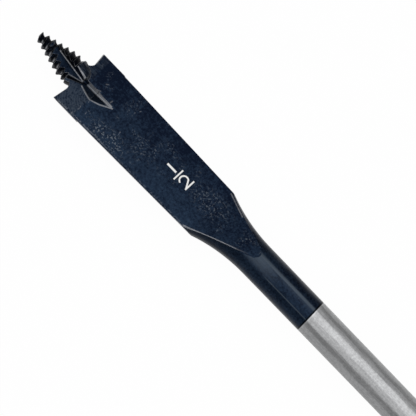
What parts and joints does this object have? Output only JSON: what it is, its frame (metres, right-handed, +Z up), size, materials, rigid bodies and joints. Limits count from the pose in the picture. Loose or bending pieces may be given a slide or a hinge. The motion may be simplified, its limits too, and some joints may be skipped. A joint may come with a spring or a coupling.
{
  "type": "spade drill bit",
  "caption": "Flat spade drill bit with a self-feeding fluted screw point, relieved cutting spurs, ramped shoulders, a round shank and a hex end for a drill chuck.",
  "frame": {"origin": "on the surface the bit lies on, midway along its length and under its axis", "axes": "+X along the bit's axis from the screw point to the hex end, +Y towards the right of the front face, +Z up, square to the front face"},
  "size_m": [0.1524, 0.0126, 0.0065],
  "materials": {
    "steel": "blue-black oxide coat on the blade and the near shank, bare steel on the rest of the shank"
  },
  "bodies": {
    "root": {"spade_bit": "steel"}
  },
  "joints": []
}
